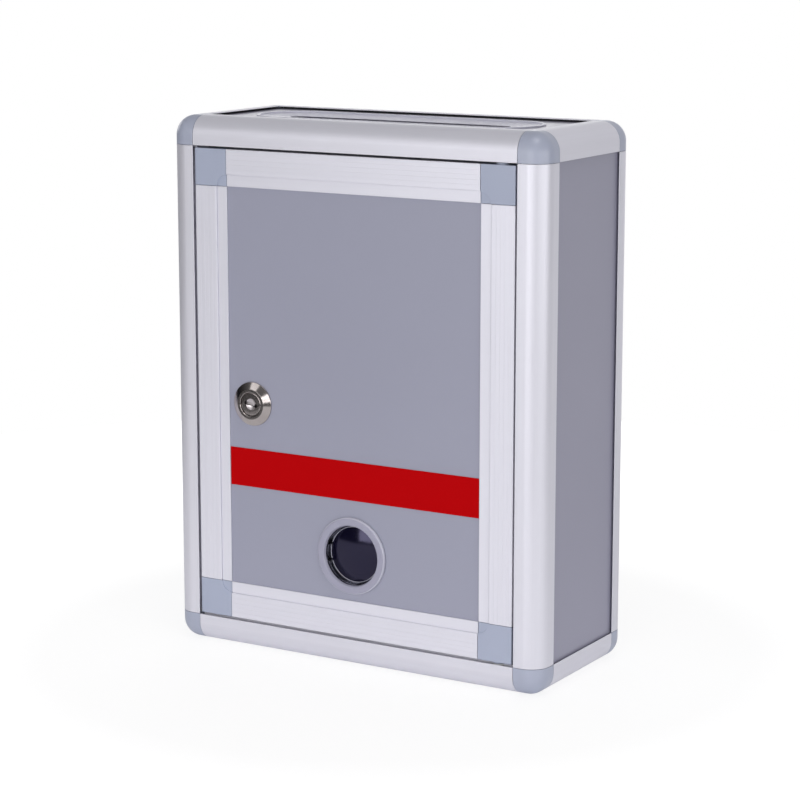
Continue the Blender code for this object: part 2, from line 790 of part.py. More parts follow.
def make_lock_plug(face, end):
    """The plug that the key turns, with its keyway, square tail and tapped hole."""
    plug_face = face - plug_recess
    tail_end = door_panel_front - cam_back + gap
    profile = [(0, plug_face), (plug_radius, plug_face), (plug_radius, end), (0, end)]
    plug = face_front(turned("lock_plug", profile, "chrome", closed=False), lock_x, lock_height)
    half_tail = tail_side / 2
    tail = box_mesh("plug_tail", (-half_tail, -half_tail, tail_end), (half_tail, half_tail, end + overrun))
    key = box_mesh("keyway", (-keyway_length / 2, -keyway_width / 2, plug_face - keyway_depth),
                   (keyway_length / 2, keyway_width / 2, plug_face + overrun))
    tapped = cylinder_mesh("plug_hole", screw_radius + gap, tail_end + gap - screw_length,
                           tail_end + screw_length)
    for mesh, operation in ((tail, "UNION"), (key, "DIFFERENCE"), (tapped, "DIFFERENCE")):
        boolean(plug, operation, face_front(add_cutter(mesh.name, mesh), lock_x, lock_height))
    return plug


def make_cam():
    """The cranked cam, hanging straight down at rest."""
    bend = math.atan2(cam_front - hook_front, crank_run)
    mitre = cam_thickness * math.tan(bend / 2)
    knee, hook = -crank_start, -crank_start - crank_run
    top, tip = cam_width / 2 + overrun, -cam_length - overrun
    hook_back = hook_front + cam_thickness
    strip = [(cam_front, top), (cam_front, knee), (hook_front, hook), (hook_front, tip),
             (hook_back, tip), (hook_back, hook - mitre), (cam_back, knee - mitre), (cam_back, top)]
    mesh = outline_mesh("lock_cam", [strip], cam_width + 2 * overrun)
    cam = put(add_part("lock_cam", mesh, "steel"), axes((lock_x, 0, lock_height), (0, 1, 0), (0, 0, 1)))
    half_straight = cam_length / 2 - cam_width / 4
    blank = outline_mesh("cam_outline", [racetrack_points(half_straight, cam_width / 2, round_steps)],
                         depth)
    centre_z = lock_height + cam_width / 2 - (half_straight + cam_width / 2)
    outline = put(add_cutter("cam_outline", blank), axes((lock_x, cam_front, centre_z), (0, 0, 1), (1, 0, 0)))
    boolean(cam, "INTERSECT", outline)
    half_hole = tail_side / 2 + gap
    hole = box_mesh("cam_hole", (lock_x - half_hole, cam_front - overrun, lock_height - half_hole),
                    (lock_x + half_hole, cam_back + overrun, lock_height + half_hole))
    boolean(cam, "DIFFERENCE", add_cutter("cam_hole", hole))
    return cam


def make_cam_washer():
    """The washer under the head of the cam's screw."""
    top = door_panel_front - cam_back - gap
    bottom = top - washer_thickness
    bore = screw_radius + gap
    profile = [(bore, top), (washer_radius, top), (washer_radius, bottom), (bore, bottom)]
    washer = turned("cam_washer", profile, "steel", closed=True, steps=small_steps)
    return face_front(washer, lock_x, lock_height)


def make_cam_screw():
    """The screw that holds the cam on the plug's tail."""
    under_head = door_panel_front - cam_back - 2 * gap - washer_thickness
    head_end = under_head - screw_head_height
    shank_end = under_head + screw_length - 2 * gap - washer_thickness
    edge = screw_head_radius - screw_head_height / 2
    profile = [(0, shank_end), (screw_radius, shank_end), (screw_radius, under_head),
               (screw_head_radius, under_head), (screw_head_radius, under_head - screw_head_height / 2),
               (edge, head_end), (0, head_end)]
    screw = turned("cam_screw", profile, "steel", closed=False, steps=small_steps)
    face_front(screw, lock_x, lock_height)
    half_slot = driver_slot_width / 2
    slot = box_mesh("driver_slot", (-screw_head_radius - overrun, -half_slot, head_end - overrun),
                    (screw_head_radius + overrun, half_slot, head_end + driver_slot_depth))
    boolean(screw, "DIFFERENCE", face_front(add_cutter("driver_slot", slot), lock_x, lock_height))
    return screw


def make_pivot_empty(name, location):
    empty = bpy.data.objects.new(name, None)
    parts.objects.link(empty)
    empty.location = location
    return empty


clear_scene()
parts = make_collection("suggestion_box")
cutters = make_collection("cutters")
cutters.hide_render = True

profiles = make_profiles()
add_stop_rib(profiles["post_front_left"])
make_corner_caps()
make_panels()
make_slot_insert()

door_pieces = make_door_frame() + make_door_corners() + make_pivots(profiles)
door_pieces += [make_door_panel(), make_band()] + make_window()
lock_fixed, lock_turning = make_lock()
door_pieces += lock_fixed

door_pivot = make_pivot_empty("door_hinge_axis", (pivot_x, pivot_y, height / 2))
lock_pivot = make_pivot_empty("lock_axis", (lock_x, lock_front, lock_height))
hang_on(door_pivot, door_pieces + [lock_pivot])
hang_on(lock_pivot, lock_turning)
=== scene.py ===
# Looks of the suggestion box: an aluminium profile cabinet with a hinged, locked front door.
# Lengths are metres, +Z is up and the door faces -Y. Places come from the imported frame.

import json
import math

import bmesh
import bpy
from mathutils import Matrix, Vector


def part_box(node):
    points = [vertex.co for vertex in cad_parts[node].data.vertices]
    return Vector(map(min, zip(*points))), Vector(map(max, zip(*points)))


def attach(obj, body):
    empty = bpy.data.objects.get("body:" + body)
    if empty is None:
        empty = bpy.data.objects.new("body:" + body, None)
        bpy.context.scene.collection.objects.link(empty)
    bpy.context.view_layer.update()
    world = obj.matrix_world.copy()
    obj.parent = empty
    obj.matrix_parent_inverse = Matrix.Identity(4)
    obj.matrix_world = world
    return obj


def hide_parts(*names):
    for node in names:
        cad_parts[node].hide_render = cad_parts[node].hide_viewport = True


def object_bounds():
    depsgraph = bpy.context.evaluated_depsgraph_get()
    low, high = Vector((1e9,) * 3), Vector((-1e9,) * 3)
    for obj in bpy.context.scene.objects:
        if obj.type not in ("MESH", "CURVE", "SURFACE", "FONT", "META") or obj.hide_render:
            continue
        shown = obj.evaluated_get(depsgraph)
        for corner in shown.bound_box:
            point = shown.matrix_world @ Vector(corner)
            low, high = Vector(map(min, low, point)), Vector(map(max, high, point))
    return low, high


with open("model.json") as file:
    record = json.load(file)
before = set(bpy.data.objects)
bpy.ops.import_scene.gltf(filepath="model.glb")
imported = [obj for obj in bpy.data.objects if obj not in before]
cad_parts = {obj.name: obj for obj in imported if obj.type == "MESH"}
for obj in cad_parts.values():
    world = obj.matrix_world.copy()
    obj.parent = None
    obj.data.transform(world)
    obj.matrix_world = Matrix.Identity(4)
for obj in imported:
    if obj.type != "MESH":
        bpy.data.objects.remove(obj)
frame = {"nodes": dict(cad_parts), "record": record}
cad_low, cad_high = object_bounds()

nodes = frame["nodes"]
record = frame["record"]
body_of = {node: body for body, members in record["behaviour"]["bodies"].items() for node in members}

# Section of the cabinet's edge profiles
edge_radius = 0.010
tube_side = 0.010
profile_wall = 0.0014
outer_lip = 0.0008
groove_back = 0.0038
ear_depth = 0.0050
lip_edge = 0.0003
lip_round = 0.00025
joint_gap = 0.00005
stop_rib_front = 0.0086
stop_rib_reach = 0.0174

# Section of the door's frame members
frame_flat = 0.0126
frame_wall = 0.0012
frame_lip_drop = 0.0006
frame_line = 0.0003
frame_groove_front = 0.00115
frame_groove_back = 0.0036
frame_rear_lip = 0.0010
frame_edge = 0.00015
ridge_count = 5
ridge_pitch = 0.00235
ridge_width = 0.00222
ridge_height = 0.00008
ridge_round_share = 0.95
block_step_radius = 0.0054
block_edge = 0.0002
block_plug_length = 0.0099
pivot_boss_radius = 0.0031
pivot_boss_depth = 0.0030

# Fine rounds on the edges of sheets, of the red band and of the small metal and plastic parts
sheet_edge = 0.00015
band_edge = 0.00005
nut_edge = 0.0003
small_edge = 0.0002

# Corner caps
cap_plug_length = 0.008
cap_seam_round = 0.00022

# Window ring, from its axis outwards and from the front of the door's sheet outwards
window_flange_radius = 0.0195
window_flange_thickness = 0.0015
window_mouth_radius = 0.0156
window_throat_radius = 0.0139
window_throat_depth = 0.0050
window_collar_radius = 0.0159
window_collar_depth = 0.0063
window_bead = 0.0010
window_bead_height = 0.0012
lens_pocket_radius = 0.0144
tab_width = 0.0070
tab_slit = 0.0012
window_lip = 0.0004
# Width of the flange's outer rim that gets the pale finish, a painted highlight
flange_highlight_edge = 0.0006
window_mouth_round = 0.0007
window_flange_round = 0.0011
window_throat_round = 0.0003
window_collar_round = 0.0002
window_lip_round = 0.0001
lens_dome = 0.0013

# Lock
bezel_rim = 0.0006
bezel_face_radius = 0.0077
bezel_radius = 0.0111
bezel_round = 0.0002
barrel_radius = 0.0078
barrel_bore = 0.0061
plug_round = 0.0003
plug_tail_half_width = 0.0028
keyway_length = 0.0074
keyway_width = 0.0018
keyway_depth = 0.0060
keyway_tilt = math.radians(10)
dish_radius = 0.0029
dish_depth = 0.00095
wafer_drop = 0.0016
wafer_reach = keyway_length / 6
thread_pitch = 0.0010
thread_depth = 0.00035
thread_clearance = 0.0042

# Letter slot insert, from its centre line outwards
insert_half_width = 0.022
insert_ledge = 0.0040
insert_rim = 0.0018
insert_rim_drop = 0.0007
insert_dish_drop = 0.0014
insert_floor = 0.0012
insert_step = 0.00015
insert_step_count = 4
insert_round = 0.0003
slot_half_width = 0.0050
slot_edge = 0.00025
skirt_offset = 0.0075
skirt_wall = 0.0012
round_end_share = 0.4999

# The studio: the surroundings' light from the low and the high side of two axes, and the floor
room_light = {"Y": (0.06, 0.95), "Z": (0.0, 0.35)}
room_colour = (0.98, 0.98, 1.0, 1.0)
lamp_distance = 1.5
floor_radius = 0.60
floor_dark = (0.80, 0.80, 0.81, 1.0)
floor_pale = (0.83, 0.83, 0.84, 1.0)
floor_light = 0.14
floor_seen_base = 0.20
floor_seen_glow = 0.83
floor_fade_start = 0.18
floor_fade_length = 0.20
floor_edge_glow = 0.25

# The photograph's view
camera_place = (0.6303, -1.0484, 0.3661)
camera_turn = math.radians(30.96)
camera_tilt = math.radians(11.01)
camera_lens = 111.4
camera_sensor = 36.0
camera_clip = 0.05

# How finely round shapes are made
fine_turn = math.radians(4)
full_detail_radius = 0.004
crease = math.radians(34)
flat_limit = math.radians(1)
large_steps = 96
thread_steps = 48
insert_end_steps = 24
ridge_round_steps = 4
least_arc_steps = 3
least_arch_steps = 5
edge_steps = 2
weld = 0.000002
hair = 0.00002
fill_scale = 200.0


class Wire:
    """One output of a node. Sums on it add Math nodes, so shader maths reads as plain expressions."""

    def __init__(self, tree, socket):
        self.tree = tree
        self.socket = socket

    def out(self, name):
        return Wire(self.tree, self.socket.node.outputs[name])

    def math(self, operation, *values):
        return self.tree.add("ShaderNodeMath", {"operation": operation}, dict(enumerate(values)))

    def __add__(self, other):
        return self.math("ADD", self, other)

    def __radd__(self, other):
        return self.math("ADD", other, self)

    def __sub__(self, other):
        return self.math("SUBTRACT", self, other)

    def __mul__(self, other):
        return self.math("MULTIPLY", self, other)

    def __rmul__(self, other):
        return self.math("MULTIPLY", other, self)

    def __truediv__(self, other):
        return self.math("DIVIDE", self, other)

    def __pow__(self, other):
        return self.math("POWER", self, other)

    def at_most(self, other):
        return self.math("MINIMUM", self, other)

    def at_least(self, other):
        return self.math("MAXIMUM", self, other)


class Tree:
    """A node tree: one method adds a node to it, and short ones add what several finishes share."""

    def __init__(self, tree):
        self.tree = tree

    def add(self, kind, settings=None, sockets=None):
        """Adds a node, sets its settings, then gives its sockets their values or links."""
        node = self.tree.nodes.new(kind)
        for name, value in (settings or {}).items():
            setattr(node, name, value)
        for name, value in (sockets or {}).items():
            if isinstance(value, Wire):
                self.tree.links.new(value.socket, node.inputs[name])
            else:
                node.inputs[name].default_value = value
        shown = [socket for socket in node.outputs if socket.enabled]
        return Wire(self, shown[0]) if shown else None

    def place(self, stretch):
        """The object's own coordinates, stretched along each axis."""
        own = self.add("ShaderNodeTexCoord").out("Object")
        return self.add("ShaderNodeVectorMath", {"operation": "MULTIPLY"}, {0: own, 1: stretch})

    def noise(self, stretch, detail=2.0):
        """Soft noise of about 0 to 1, with the given number of blotches to the metre."""
        sockets = {"Vector": self.place(stretch), "Scale": 1.0, "Detail": detail}
        return self.add("ShaderNodeTexNoise", None, sockets)

    def tint(self, share, low, high):
        """A colour between two others."""
        return self.add("ShaderNodeMix", {"data_type": "RGBA"}, {0: share, 6: low, 7: high})

    def bump(self, height, distance):
        return self.add("ShaderNodeBump", None, {"Height": height, "Distance": distance})


def srgb(red, green, blue):
    """Linear colour of an 8 bit display colour."""
    def linear(value):
        share = value / 255
        return share / 12.92 if share <= 0.04045 else ((share + 0.055) / 1.055) ** 2.4
    return linear(red), linear(green), linear(blue), 1.0


def new_finish(name, **fixed):
    """A material whose shader holds the fixed values, with its tree and its shader node."""
    material = bpy.data.materials.new(name)
    material.use_nodes = True
    shader = material.node_tree.nodes["Principled BSDF"]
    for key, value in fixed.items():
        shader.inputs[key.replace("_", " ")].default_value = value
    return material, Tree(material.node_tree), shader


def feed(tree, shader, **wires):
    """Links wires to the shader's inputs that they are named after."""
    for key, wire in wires.items():
        tree.tree.links.new(wire.socket, shader.inputs[key.replace("_", " ")])


def anodised(name, along, pale, dark):
    """Satin anodised aluminium with faint drawn lines along one axis."""
    material, tree, shader = new_finish(name, Metallic=0.35, IOR=1.5)
    lines = tree.noise([4.0 if axis == along else 1500.0 for axis in range(3)], detail=3.0)
    bands = tree.noise([2.0 if axis == along else 420.0 for axis in range(3)])
    cloud = tree.noise((22.0, 22.0, 22.0), detail=3.0)
    shade = 0.35 * lines + 0.35 * bands + 0.30 * cloud
    feed(tree, shader,
         Base_Color=tree.tint(shade, dark, pale),
         Roughness=0.34 + 0.16 * lines,
         Normal=tree.bump(lines + 0.6 * bands, 0.000012))
    return material


def moulded(name, pale, dark, roughness):
    """Satin moulded plastic with a very fine grain."""
    material, tree, shader = new_finish(name, IOR=1.5)
    grain = tree.noise((2600.0, 2600.0, 2600.0))
    cloud = tree.noise((30.0, 30.0, 30.0), detail=3.0)
    feed(tree, shader,
         Base_Color=tree.tint(0.75 * cloud + 0.25 * grain, dark, pale),
         Roughness=roughness + 0.10 * grain,
         Normal=tree.bump(grain, 0.00001))
    return material


def painted(name, pale, dark, roughness):
    """Semi-matt coated sheet: a fine orange peel and a slight cloudiness."""
    material, tree, shader = new_finish(name, IOR=1.46)
    peel = tree.noise((700.0, 700.0, 700.0))
    speckle = tree.noise((3800.0, 3800.0, 3800.0))
    cloud = tree.noise((9.0, 9.0, 9.0), detail=4.0)
    feed(tree, shader,
         Base_Color=tree.tint(0.8 * cloud + 0.2 * speckle, dark, pale),
         Roughness=roughness + 0.08 * peel,
         Normal=tree.bump(peel + 0.3 * speckle, 0.000012))
    return material


def printed(name, pale, dark):
    """A flat layer of screen ink over the coated sheet."""
    material, tree, shader = new_finish(name, IOR=1.1)
    peel = tree.noise((700.0, 700.0, 700.0))
    mesh_marks = tree.noise((5200.0, 5200.0, 5200.0))
    feed(tree, shader,
         Base_Color=tree.tint(0.6 * peel + 0.4 * mesh_marks, dark, pale),
         Roughness=0.55 + 0.08 * mesh_marks,
         Normal=tree.bump(peel, 0.00001))
    return material


def clear_plastic(name, pale, dark):
    """Clear moulded plastic with faint flow marks; its grey colour is a painted shade that darkens what shows
    through it.
    """
    material, tree, shader = new_finish(name, IOR=1.49, Transmission_Weight=1.0)
    flow = tree.noise((160.0, 160.0, 160.0))
    feed(tree, shader,
         Base_Color=tree.tint(flow, dark, pale),
         Roughness=0.12 + 0.06 * flow)
    return material


def hazy_plastic(name, pale, dark):
    """Thin clear plastic over a paler ground: its sheet shows through."""
    material, tree, shader = new_finish(name, IOR=1.49, Alpha=0.65)
    flow = tree.noise((160.0, 160.0, 160.0))
    feed(tree, shader,
         Base_Color=tree.tint(flow, dark, pale),
         Roughness=0.10 + 0.06 * flow)
    return material


def painted_shade_lens(name, pale, dark):
    """Near-black glossy plastic, a little hazy: its dark colour is a painted shade for the unlit inside of
    the box.
    """
    material, tree, shader = new_finish(name, IOR=1.6, Specular_Tint=(0.66, 0.62, 1.0, 1.0))
    haze = tree.noise((120.0, 120.0, 120.0), detail=3.0)
    feed(tree, shader,
         Base_Color=tree.tint(haze, dark, pale),
         Roughness=0.08 + 0.05 * haze)
    return material


def polished(name, pale, dark, roughness):
    """Plated metal with fine rubbing marks."""
    material, tree, shader = new_finish(name, Metallic=1.0)
    rubbed = tree.noise((900.0, 900.0, 5200.0), detail=3.0)
    cloud = tree.noise((260.0, 260.0, 260.0))
    feed(tree, shader,
         Base_Color=tree.tint(cloud, dark, pale),
         Roughness=roughness + 0.10 * rubbed,
         Normal=tree.bump(rubbed, 0.000002))
    return material


finishes = {
    "profile_x": anodised("anodised_profile_x", 0, srgb(232, 231, 240), srgb(218, 217, 227)),
    "profile_y": anodised("anodised_profile_y", 1, srgb(232, 231, 240), srgb(218, 217, 227)),
    "profile_z": anodised("anodised_profile_z", 2, srgb(232, 231, 240), srgb(218, 217, 227)),
    "frame_x": anodised("anodised_frame_x", 0, srgb(236, 235, 244), srgb(222, 221, 232)),
    "frame_z": anodised("anodised_frame_z", 2, srgb(236, 235, 244), srgb(222, 221, 232)),
    "corner": moulded("corner_plastic_finish", srgb(178, 183, 201), srgb(166, 171, 190), 0.26),
    "door_corner": moulded("door_corner_finish", srgb(177, 184, 204), srgb(165, 172, 194), 0.42),
    "insert": moulded("insert_plastic_finish", srgb(218, 217, 231), srgb(206, 205, 219), 0.30),
    # Near-black painted shade for the insides of the panel grooves and of the caps' slots
    "seal": moulded("seal_rubber_finish", srgb(44, 42, 52), srgb(34, 32, 40), 0.55),
    "bush": moulded("bush_plastic_finish", srgb(232, 232, 232), srgb(220, 220, 222), 0.40),
    "panel": painted("panel_paint_finish", srgb(159, 158, 176), srgb(151, 150, 168), 0.30),
    # The same paint as the other panels, made paler: painted light on the top
    "top_panel": painted("top_paint_painted_light_finish", srgb(182, 180, 196), srgb(174, 172, 188), 0.27),
    "door_panel": painted("door_paint_finish", srgb(162, 163, 181), srgb(154, 155, 173), 0.34),
    "band": printed("band_red_finish", srgb(192, 4, 10), srgb(182, 0, 5)),
    # The grey of the clear plastic is a painted shade on the throat's see-through wall
    "clear": clear_plastic("window_clear_finish", srgb(128, 128, 146), srgb(112, 112, 130)),
    "flange": hazy_plastic("window_flange_finish", srgb(192, 191, 211), srgb(184, 183, 204)),
    # Pale opaque plastic on the lip at the lens and on the flange's outer rim: a painted highlight on both
    # edges
    "lip": moulded("window_edge_highlight_finish", srgb(196, 196, 210), srgb(186, 186, 201), 0.20),
    # The lens's near-black colour is a painted shade for the box's dark inside
    "lens": painted_shade_lens("lens_painted_shade_finish", srgb(10, 8, 30), srgb(7, 6, 25)),
    "chrome": polished("lock_chrome_finish", srgb(200, 192, 190), srgb(184, 176, 174), 0.10),
    "satin": polished("lock_satin_finish", srgb(225, 218, 220), srgb(205, 198, 200), 0.32),
    # Dark metal for the keyway's inside: a painted shade of its depth
    "shade": polished("keyway_painted_shade_finish", srgb(70, 66, 66), srgb(52, 48, 50), 0.45),
    "steel": polished("zinc_steel_finish", srgb(188, 188, 192), srgb(160, 160, 165), 0.28),
}


def evaluated_mesh(item):
    bpy.context.view_layer.update()
    graph = bpy.context.evaluated_depsgraph_get()
    return bpy.data.meshes.new_from_object(item.evaluated_get(graph), preserve_all_data_layers=True,
                                           depsgraph=graph)


def loose_object(name, data):
    item = bpy.data.objects.new(name, data)
    bpy.context.scene.collection.objects.link(item)
    return item


def cleaned(bm, name):
    """A mesh from a bmesh, with its doubles merged and its faces pointing out."""
    bmesh.ops.remove_doubles(bm, verts=bm.verts, dist=weld)
    bmesh.ops.recalc_face_normals(bm, faces=bm.faces)
    mesh = bpy.data.meshes.new(name)
    bm.to_mesh(mesh)
    bm.free()
    return mesh


def box_mesh(name, low, high):
    low, high = Vector(low), Vector(high)
    bm = bmesh.new()
    size = Matrix.Diagonal((*(high - low), 1.0))
    bmesh.ops.create_cube(bm, size=1.0, matrix=Matrix.Translation((low + high) / 2) @ size)
    return cleaned(bm, name)


def cylinder_mesh(name, radius, low, high):
    bm = bmesh.new()
    place = Matrix.Translation((0, 0, (low + high) / 2))
    bmesh.ops.create_cone(bm, cap_ends=True, segments=large_steps, radius1=radius, radius2=radius,
                          depth=high - low, matrix=place)
    return cleaned(bm, name)


def rounded(corners):
    """An outline through (x, y, radius) corners, each turned into an arc of its radius."""
    points = []
    for i, (x, y, radius) in enumerate(corners):
        here = Vector((x, y))
        if not radius:
            points.append(here)
            continue
        before = (Vector(corners[i - 1][:2]) - here).normalized()
        after = (Vector(corners[(i + 1) % len(corners)][:2]) - here).normalized()
        half = before.angle(after) / 2
        centre = here + (before + after).normalized() * (radius / math.sin(half))
        spoke = here + before * (radius / math.tan(half)) - centre
        sweep = math.copysign(math.pi - 2 * half, -before.cross(after))
        steps = max(least_arc_steps, round(abs(sweep) / fine_turn * min(1.0, radius / full_detail_radius)))
        for k in range(steps + 1):
            points.append(centre + Matrix.Rotation(sweep * k / steps, 2) @ spoke)
    return points


def prism(name, outlines, place, length):
    """A section with its holes, extruded evenly along the Z axis of a placement."""
    curve = bpy.data.curves.new(name, "CURVE")
    curve.dimensions = "2D"
    curve.fill_mode = "BOTH"
    curve.extrude = length / 2 * fill_scale
    for points in outlines:
        spline = curve.splines.new("POLY")
        spline.points.add(len(points) - 1)
        spline.use_cyclic_u = True
        for target, (x, y) in zip(spline.points, points):
            target.co = (x * fill_scale, y * fill_scale, 0, 1)
    source = loose_object(name, curve)
    mesh = evaluated_mesh(source)
    bpy.data.objects.remove(source)
    mesh.transform(place @ Matrix.Scale(1 / fill_scale, 4))
    bm = bmesh.new()
    bm.from_mesh(mesh)
    return cleaned(bm, name)


def axes(origin, across, along):
    """A placement whose local X and Y axes point across and along."""
    across, along = Vector(across), Vector(along)
    turn = Matrix((across, along, across.cross(along))).transposed()
    return Matrix.Translation(Vector(origin)) @ turn.to_4x4()


def facing_front(x, y, z):
    """A placement whose local Z axis points out of the door."""
    return Matrix.Translation((x, y, z)) @ Matrix.Rotation(math.pi / 2, 4, "X")


def turned_mesh(name, profile, place, closed=True):
    """A profile of (radius, height) points turned about the local Z axis."""
    count = len(profile)
    mesh = bpy.data.meshes.new(name)
    edges = [(i, (i + 1) % count) for i in range(count if closed else count - 1)]
    mesh.from_pydata([(radius, 0, level) for radius, level in profile], edges, [])
    source = loose_object(name, mesh)
    screw = source.modifiers.new("turn", "SCREW")
    screw.steps = large_steps
    screw.render_steps = large_steps
    screw.use_merge_vertices = True
    screw.merge_threshold = weld
    result = evaluated_mesh(source)
    bpy.data.objects.remove(source)
    result.transform(place)
    bm = bmesh.new()
    bm.from_mesh(result)
    return cleaned(bm, name)


def carved(mesh, cuts, joins=()):
    """A mesh after exact Boolean cuts and joins."""
    source = loose_object("carved", mesh)
    helpers = []
    for operation, others in (("UNION", joins), ("DIFFERENCE", cuts)):
        for other in others:
            helper = loose_object("carver", other)
            helpers.append(helper)
            modifier = source.modifiers.new("carve", "BOOLEAN")
            modifier.operation = operation
            modifier.object = helper
            modifier.solver = "EXACT"
    result = evaluated_mesh(source)
    for item in [source] + helpers:
        bpy.data.objects.remove(item)
    return result


def finish_piece(name, mesh, finish, edge=0.0):
    """The final piece: edges slightly rounded, round faces smooth and flat faces flat. Names of further
    finishes, after spaces, go to the faces with the next material numbers."""
    source = loose_object(name + "_source", mesh)
    if edge:
        bevel = source.modifiers.new("edges", "BEVEL")
        bevel.width = edge
        bevel.segments = edge_steps
        bevel.limit_method = "ANGLE"
        bevel.angle_limit = crease
        source.data = evaluated_mesh(source)
        source.modifiers.remove(bevel)
    source.data.shade_smooth()
    source.data.set_sharp_from_angle(angle=crease)
    normals = source.modifiers.new("flat_faces", "WEIGHTED_NORMAL")
    normals.keep_sharp = True
    result = evaluated_mesh(source)
    bpy.data.objects.remove(source)
    names = finish.split()
    numbers = [min(face.material_index, len(names) - 1) for face in result.polygons]
    result.materials.clear()
    for each in names:
        result.materials.append(finishes[each])
    result.polygons.foreach_set("material_index", numbers)
    return loose_object(name, result)


def stands_for(piece, *members):
    """The piece rides on the body of the CAD nodes that it replaces, which are hidden."""
    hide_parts(*members)
    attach(piece, body_of[members[0]])


def refined(node, finish, edge):
    """A merged copy of a CAD node with rounded edges and smooth shading."""
    bm = bmesh.new()
    bm.from_mesh(nodes[node].data)
    bmesh.ops.remove_doubles(bm, verts=bm.verts, dist=weld)
    bmesh.ops.dissolve_limit(bm, angle_limit=flat_limit, verts=bm.verts, edges=bm.edges)
    mesh = cleaned(bm, node + "_mesh")
    stands_for(finish_piece(node + "_detail", mesh, finish, edge), node)


def profile_section(with_stop_rib):
    """Section of an edge profile: a round corner tube with a grooved ear along each face."""
    leg = profile_leg()
    ear = [(lip_edge, leg, 0), (outer_lip, tube_side, 0), (groove_back, tube_side, 0),
           (groove_back, leg, lip_round), (ear_depth, leg, lip_round), (ear_depth, tube_side, 0)]
    outline = [(leg, 0, lip_edge / 2), (0, 0, edge_radius), (0, leg, lip_edge / 2)] + ear
    if with_stop_rib:
        outline += [(stop_rib_reach, tube_side, lip_round), (stop_rib_reach, stop_rib_front, lip_round),
                    (tube_side, stop_rib_front, 0)]
    else:
        outline.append((tube_side, tube_side, lip_round))
    outline += [(y, x, radius) for x, y, radius in reversed(ear)]
    far = tube_side - profile_wall
    chamber = [(profile_wall, profile_wall, far - profile_wall - hair), (far, profile_wall, 0),
               (far, far, 0), (profile_wall, far, 0)]
    return [rounded(outline), rounded(chamber)]


def profile_leg():
    """Length of an edge profile's two legs."""
    low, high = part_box("post_front_right")
    return high.x - low.x


def make_profiles():
    """The twelve edge profiles."""
    sides = {"left": (cad_low.x, 1), "right": (cad_high.x, -1)}
    rows = {"front": (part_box("post_front_left")[0].y, 1), "rear": (cad_high.y, -1)}
    levels = {"bottom": (cad_low.z, 1), "top": (cad_high.z, -1)}
    places = {}
    for row, (y, inward) in rows.items():
        for side, (x, across) in sides.items():
            places[f"post_{row}_{side}"] = ((x, y, 0), (across, 0, 0), (0, inward, 0), 2)
    for level, (z, up) in levels.items():
        for row, (y, inward) in rows.items():
            places[f"rail_{level}_{row}"] = ((0, y, z), (0, inward, 0), (0, 0, up), 0)
        for side, (x, across) in sides.items():
            places[f"rail_{level}_{side}"] = ((x, 0, z), (across, 0, 0), (0, 0, up), 1)
    plain, ribbed = profile_section(False), profile_section(True)
    for node, (origin, across, along, axis) in places.items():
        low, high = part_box(node)
        origin = Vector(origin)
        origin[axis] = (low[axis] + high[axis]) / 2
        length = high[axis] - low[axis] + 2 * joint_gap
        section = ribbed if node == "post_front_left" else plain
        place = axes(origin, across, along)
        mesh = prism(node + "_mesh", section, place, length)
        finish = "profile_" + "xyz"[axis]
        # The grooves round the top's panel get a near-black painted shade
        if node.startswith("rail_top"):
            mark_grooves(mesh, place, 2)
            finish += " seal"
        stands_for(finish_piece(node + "_detail", mesh, finish), node)


def mark_grooves(mesh, place, sides):
    """Gives the faces inside the panel grooves of a profile, or of a cap with its three outer sides, the
    second material number. In the placement's own axes, distances count from the outer sides."""
    to_own = place.inverted()
    for face in mesh.polygons:
        depth, reach = sorted((to_own @ face.center)[:sides])[:2]
        inside = lip_edge + hair < depth < groove_back - hair and reach > tube_side - hair
        # The second material number carries a near-black painted shade
        face.material_index = int(inside)


def cap_mesh():
    """A corner cap at the origin, rounded towards it, with its three plugs and panel slots."""
    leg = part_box("corner_bottom_front_left")[1].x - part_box("corner_bottom_front_left")[0].x
    leg -= cap_plug_length
    bm = bmesh.new()
    middle = leg / 2
    bmesh.ops.create_cube(bm, size=leg, matrix=Matrix.Translation((middle, middle, middle)))
    # The three edges that meet at the cabinet's corner
    outer = [edge for edge in bm.edges
             if sum(1 for i in range(3) if max(v.co[i] for v in edge.verts) < middle) == 2]
    bmesh.ops.bevel(bm, geom=outer, offset=edge_radius, segments=round(math.pi / 2 / fine_turn),
                    profile=0.5, affect="EDGES", clamp_overlap=False)
    cap = cleaned(bm, "cap")
    inset = profile_wall + 2 * lip_round
    reach = tube_side - inset
    plug = rounded([(inset, inset, reach - inset - hair), (reach, inset, 0), (reach, reach, 0),
                    (inset, reach, 0)])
    joins, cuts = [], []
    for i in range(3):
        origin, across, along = Vector(), Vector(), Vector()
        origin[i] = leg + cap_plug_length / 2 - lip_round
        across[(i + 1) % 3] = 1
        along[(i + 2) % 3] = 1
        joins.append(prism("plug", [plug], axes(origin, across, along), cap_plug_length + 2 * lip_round))
        low, high = Vector((tube_side,) * 3), Vector((leg * 2,) * 3)
        low[i], high[i] = outer_lip, groove_back
        cuts.append(box_mesh("slot", low, high))
    return carved(cap, cuts, joins)


